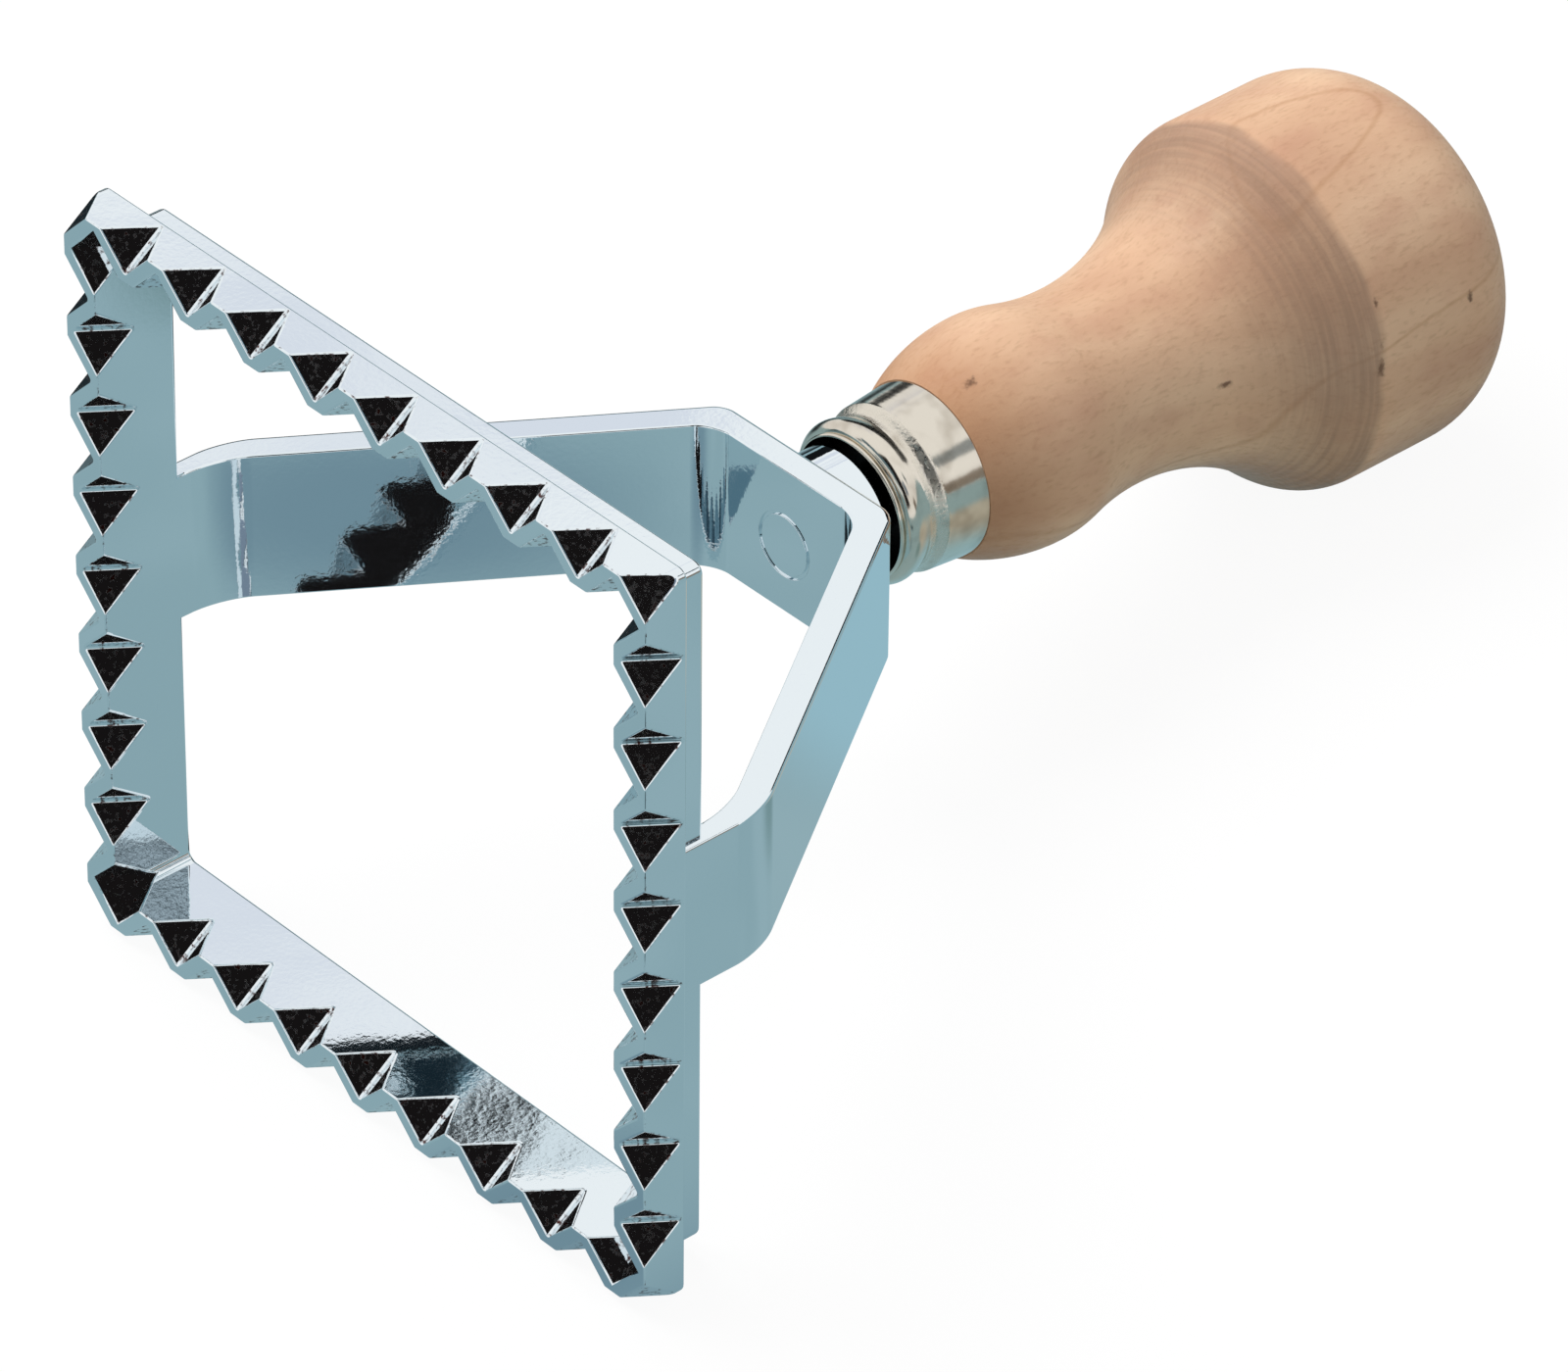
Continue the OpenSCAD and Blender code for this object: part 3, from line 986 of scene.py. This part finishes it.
@dataclass
class Ferrule:
    """Rolled sleeve with a lip, a bead, a groove and a smooth band."""

    sheet: float = 0.5
    lip: float = 0.22
    mouth: Point = (56.3, 6.7)
    bead: Point = (57.8, 7.8)
    groove: Point = (59.9, 7.35)
    band: Point = (61.1, 8.0)
    rear: Point = (65.4, 8.35)
    finish: NickelSheet = field(default_factory=NickelSheet)
    # Painted shade for the sleeve's inside faces
    inside_shade: SleeveInsideShade = field(default_factory=SleeveInsideShade)

    def build(self) -> Piece:
        """Turn the sleeve's outside and inside in one closed outline."""
        thin = [(a, r - self.sheet) for a, r in (self.bead, self.groove, self.band, self.rear)]
        lip_end = (self.mouth[0] + 2 * self.lip, self.mouth[1] + 0.5 * self.lip)
        lip = arc((self.mouth[0] + self.lip, self.mouth[1] + 0.1 * self.lip), self.lip, 180, 10, 15)
        outside = (lip + quarter(lip_end, self.bead) + wave(self.bead, self.groove)[1:]
                   + wave(self.groove, self.band)[1:] + [self.rear])
        inside = (quarter((self.mouth[0] + self.sheet, self.mouth[1]), thin[0]) + wave(thin[0], thin[1])[1:]
                  + wave(thin[1], thin[2])[1:] + [thin[3]])
        piece = finish_mesh(turned(outside + inside[::-1], closed=True), "rolled_ferrule", crease=40.0)
        piece.data.materials.append(self.finish.build())
        # The inside faces get the painted shade of the sleeve's inside
        piece.data.materials.append(self.inside_shade.build())
        axis = LIE.direction(0.0, 1.0, 0.0)
        for face in piece.data.polygons:
            offset = face.center - LIE.point(0.0, self.rear[0], 0.0)
            outwards = offset - axis * offset.dot(axis)
            face.material_index = int(face.normal.dot(outwards) < 0)
        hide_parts("ferrule")
        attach(piece, "root")
        return piece


@dataclass
class Handle:
    """Turned handle with a spigot, a bulge, a waist and a domed knob."""

    front: float = 61.1
    ferrule_end: float = 65.4
    spigot: tuple[float, float] = (7.45, 7.8)
    bore: tuple[float, float] = (84.5, 3.25)
    step: float = 8.45
    bulge: Point = (74.8, 11.0)
    bulge_arc: float = 13.0
    waist: float = 9.65
    waist_arc: float = 25.0
    knob: float = 18.0
    shoulder_arc: float = 5.5
    barrel: float = 9.7
    edge_arc: float = 8.8
    dome: float = 39.0
    finish: TurnedWood = field(default_factory=TurnedWood)

    def outline(self) -> list[Point]:
        """Return the outline from the bore's end round to the middle of the dome."""
        rise, run = self.bulge[1] - self.step, self.bulge[0] - self.ferrule_end
        front_arc = (run ** 2 + rise ** 2) / (2 * rise)
        bulge_c = (self.bulge[0], self.bulge[1] - self.bulge_arc)
        waist_r = self.waist + self.waist_arc
        apart = math.sqrt((self.bulge_arc + self.waist_arc) ** 2 - (waist_r - bulge_c[1]) ** 2)
        waist_c = (bulge_c[0] + apart, waist_r)
        shoulder_r = self.knob - self.shoulder_arc
        apart = math.sqrt((self.waist_arc + self.shoulder_arc) ** 2 - (waist_r - shoulder_r) ** 2)
        shoulder_c = (waist_c[0] + apart, shoulder_r)
        edge_c = (shoulder_c[0] + self.barrel, self.knob - self.edge_arc)
        dome_c = (edge_c[0] - math.sqrt((self.dome - self.edge_arc) ** 2 - edge_c[1] ** 2), 0.0)
        turns = [math.degrees(math.atan2(two[1] - one[1], two[0] - one[0]))
                 for one, two in ((bulge_c, waist_c), (waist_c, shoulder_c), (dome_c, edge_c))]
        start = 90 + math.degrees(math.asin(run / front_arc))
        points = [(self.bore[0], 0.0), self.bore, (self.front, self.bore[1]), (self.front, self.spigot[0]),
                  (self.ferrule_end, self.spigot[1])]
        points += arc((self.bulge[0], self.bulge[1] - front_arc), front_arc, start, 90)
        points += arc(bulge_c, self.bulge_arc, 90, turns[0])[1:]
        points += arc(waist_c, self.waist_arc, turns[0] - 180, turns[1])[1:]
        points += arc(shoulder_c, self.shoulder_arc, turns[1] + 180, 90)[1:]
        points += arc(edge_c, self.edge_arc, 90, turns[2])
        points += arc(dome_c, self.dome, turns[2], 0)[1:]
        return points[:-1] + [(points[-1][0], 0.0)]

    def build(self) -> Piece:
        """Turn and dress the handle."""
        piece = finish_mesh(turned(self.outline(), closed=False), "turned_handle", crease=35.0)
        piece.data.materials.append(self.finish.build())
        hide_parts("handle")
        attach(piece, "root")
        return piece


# Studio

@dataclass(frozen=True)
class Patch:
    """One soft coloured patch on a level card, in scene millimetres.

    Its height is so large that the card's own level makes no difference.
    """

    middle: Point
    reach: Point
    colour: str
    fade: float = 0.3
    height: float = 1000.0

    def lay(self, tree: Tree, place: Source, base: Any) -> Node:
        """Lay the patch over a colour.

        Args:
            tree: The card's node tree.
            place: Places in metres.
            base: Colour underneath.

        Returns:
            The node that gives the mixed colour.
        """
        reach = reach_from(tree, place, (*self.middle, 0.0), (*self.reach, self.height))
        return paint(tree, base, self.colour, (reach, Step(1 + self.fade, 1 - self.fade)))


@dataclass(frozen=True)
class Card:
    """One flat glowing card that only reflections see.

    It stands in a direction from the point at which it aims, square to it, in
    scene millimetres. A second colour can lie over its own one in clouds.
    """

    name: str
    towards: Triple
    distance: float
    size: Point
    colour: str
    cloud: str = ""
    clouds: Grain = Grain(120.0)
    cloud_share: Step = Step(0.42, 0.62)
    roll: float = 0.0
    aim: Triple = (0.0, -50.0, 35.0)
    patches: tuple[Patch, ...] = ()

    def matrix(self) -> Matrix:
        """Return the matrix from a unit sheet to the card in the scene."""
        way = Vector(self.towards).normalized()
        turn = (-way).to_track_quat("Z", "Y").to_matrix().to_4x4()
        turn = turn @ Matrix.Rotation(math.radians(self.roll), 4, "Z")
        scale = Matrix.Diagonal((self.size[0], self.size[1], 1.0, 1.0))
        middle = Vector(self.aim) + way * self.distance
        return Matrix.Scale(MM, 4) @ Matrix.Translation(middle) @ turn @ scale

    def paper(self) -> bpy.types.Material:
        """Build the card's glowing paper."""
        material, tree, glow = new_material(self.name, "ShaderNodeEmission")
        place = add_node(tree, "ShaderNodeTexCoord").outputs["Object"]
        colour: Any = srgb(self.colour)
        if self.cloud:
            colour = paint(tree, colour, self.cloud, (self.clouds.draw(tree, place), self.cloud_share))
        for patch in self.patches:
            colour = patch.lay(tree, place, colour)
        connect(tree, glow, {"Color": colour})
        return material

    def build(self) -> None:
        """Stand the card in its place."""
        bm = bmesh.new()
        bmesh.ops.create_grid(bm, x_segments=1, y_segments=1, size=0.5, matrix=self.matrix())
        piece = link_mesh(bm, self.name)
        piece.data.materials.append(self.paper())
        piece.visible_camera = False
        piece.visible_diffuse = False
        piece.visible_shadow = False
        piece.visible_transmission = False


@dataclass(frozen=True)
class Lamp:
    """One soft square lamp that the camera and metal don't see.

    Its place is in scene millimetres, its side in metres, its power in watts,
    and the point at which it looks in tool millimetres.
    """

    name: str
    place: Triple
    side: float
    power: float
    aim: Triple = (0.0, 60.0, 0.0)

    def build(self) -> None:
        """Hang the lamp in its place."""
        data = bpy.data.lights.new(self.name, "AREA")
        data.shape = "SQUARE"
        data.size = self.side
        data.energy = self.power
        lamp = bpy.data.objects.new(self.name, data)
        bpy.context.scene.collection.objects.link(lamp)
        lamp.location = Vector(self.place) * MM
        way = LIE.point(*self.aim) - lamp.location
        lamp.rotation_euler = way.to_track_quat("-Z", "Y").to_euler()
        lamp.visible_camera = False
        lamp.visible_glossy = False


@dataclass
class Studio:
    """Floor, table sheet, cards, lamp, world and camera of the photograph."""

    focal_px: float = 10827.865
    frame_px: int = 1600
    sensor_mm: float = 36.0
    eye: Triple = (559.362, -455.625, 532.340)
    right: Triple = (0.66491, 0.74687, 0.008964)
    up: Triple = (-0.444244, 0.385788, 0.808589)
    back: Triple = (0.600452, -0.541621, 0.588306)
    clip: Point = (0.05, 20.0)
    cards: tuple[Card, ...] = (
        Card("table_sheet", (0.0, 0.0, -1.0), 34.95, (4000.0, 4000.0), "#93AFB6", cloud="#A5BFC6",
             clouds=Grain(30.0), cloud_share=Step(0.4, 0.7, 0.0, 0.35), aim=(0.0, 0.0, 35.0), patches=(
                 Patch((-4.0, 14.0), (22.0, 25.0), "#9ABFCB"),
                 Patch((40.0, 27.0), (26.0, 20.0), "#BDBAAD", 0.5),
                 Patch((32.0, 1.0), (9.0, 9.0), "#7C989B", 0.6),
                 Patch((24.0, -68.0), (15.0, 24.0), "#7894A0", 0.6),
                 Patch((-50.0, -19.0), (20.0, 14.0), "#1A2024", 0.25),
                 Patch((112.0, -109.0), (30.0, 27.0), "#1F2C33", 0.3),
                 Patch((-300.0, 40.0), (215.0, 110.0), "#1E262A", 0.2),
             )),
        Card("camera_side_card", (0.5255, -0.5255, 0.669), 3000.0, (2010.0, 3900.0), "#171414", roll=-20.0),
        Card("rear_right_card", (0.63, 0.555, 0.55), 1200.0, (240.0, 240.0), "#3C454A", cloud="#B9C3C9",
             clouds=Grain(28.0)),
        Card("lilac_card", (0.82, -0.04, 0.57), 1200.0, (400.0, 400.0), "#8793A2"),
        Card("ferrule_card", (0.9, 0.45, 0.09), 1500.0, (520.0, 300.0), "#877C71"),
        Card("front_left_card", (-0.06, -0.69, 0.72), 1200.0, (1220.0, 420.0), "#64828F", cloud="#2E424E"),
        Card("front_low_card", (-0.08, -0.92, 0.38), 1500.0, (700.0, 320.0), "#3F5560", cloud="#7F98A2"),
        Card("rear_dark_card", (-0.45, 0.88, 0.14), 2000.0, (2500.0, 700.0), "#141618"),
        Card("overhead_card", (-0.62, 0.6, 0.5), 1500.0, (900.0, 500.0), "#FFFFFF", cloud="#E8EAF2"),
    )
    lamp: Lamp = Lamp("key_softbox", (-330.0, 20.0, 650.0), 0.5, 4.6)
    floor_half: float = 4.0
    floor_bounce: str = "#B4BCB2"
    floor_glow: float = 0.93
    tent_level: float = 0.54

    def camera(self) -> None:
        """Place the camera where the photograph was taken from."""
        data = bpy.data.cameras.new("photo_camera")
        data.sensor_width = self.sensor_mm
        data.lens = self.focal_px / self.frame_px * self.sensor_mm
        data.clip_start, data.clip_end = self.clip
        camera = bpy.data.objects.new("photo_camera", data)
        bpy.context.scene.collection.objects.link(camera)
        axes = Matrix([LIE.direction(*axis) for axis in (self.right, self.up, self.back)]).transposed()
        camera.matrix_world = Matrix.Translation(LIE.point(*self.eye)) @ axes.to_4x4()
        bpy.context.scene.camera = camera

    def seen(self, tree: Tree) -> Node:
        """Tell rays that show something, straight or mirrored, from those that light it.

        Args:
            tree: Node tree of a material or of the world.

        Returns:
            The node that gives 1 for a ray that shows something, and 0 otherwise.
        """
        path = add_node(tree, "ShaderNodeLightPath")
        share: Source = path.outputs["Is Camera Ray"]
        for name in ("Is Glossy Ray", "Is Transmission Ray"):
            share = add_node(tree, "ShaderNodeMath", {"operation": "MAXIMUM"},
                             {0: share, 1: path.outputs[name]})
        return share

    def floor(self) -> None:
        """Lay the white floor, which keeps the object's shadow."""
        bm = bmesh.new()
        bmesh.ops.create_grid(bm, x_segments=1, y_segments=1, size=self.floor_half)
        floor = link_mesh(bm, "floor")
        floor.data.materials.append(self.floor_paper())

    def floor_paper(self) -> bpy.types.Material:
        """Build the floor's paper, which looks white and still catches a soft shadow."""
        material, tree, mix = new_material("White paper sweep", "ShaderNodeMixShader")
        seen = self.seen(tree)
        colour = add_node(tree, "ShaderNodeMix", COLOUR,
                          {"Factor": seen, "A": srgb(self.floor_bounce), "B": srgb("#FFFFFF")})
        connect(tree, mix, {
            0: add_node(tree, "ShaderNodeMath", TIMES, {0: seen, 1: self.floor_glow}),
            1: add_node(tree, "ShaderNodeBsdfDiffuse", None, {"Color": colour}),
            2: add_node(tree, "ShaderNodeEmission", None, {"Color": srgb("#FFFFFF")}),
        })
        return material

    def world(self) -> None:
        """Fill the world with even white light, and show it white to the camera and to metal."""
        world = bpy.data.worlds.new("light_tent")
        world.use_nodes = True
        tree = world.node_tree
        tree.nodes.clear()
        tent, shown = (add_node(tree, "ShaderNodeBackground", None,
                                {"Color": srgb("#FFFFFF"), "Strength": strength})
                       for strength in (self.tent_level, 1.0))
        mix = add_node(tree, "ShaderNodeMixShader", None, {0: self.seen(tree), 1: tent, 2: shown})
        add_node(tree, "ShaderNodeOutputWorld", None, {"Surface": mix})
        bpy.context.scene.world = world

    def build(self) -> None:
        """Set up the whole studio."""
        self.camera()
        self.floor()
        self.world()
        for card in self.cards:
            card.build()
        self.lamp.build()
        bpy.context.scene.view_settings.view_transform = "Standard"


def main() -> None:
    """Build the stamp piece by piece, then its studio."""
    logging.basicConfig(level=logging.INFO, format="%(message)s")
    bpy.context.view_layer.update()
    for part in (CutterHead(), Ferrule(), Handle()):
        piece = part.build()
        LOG.info("built %s: %d faces", piece.name, len(piece.data.polygons))
    Studio().build()
    bpy.context.view_layer.update()


if __name__ == "__main__":
    main()
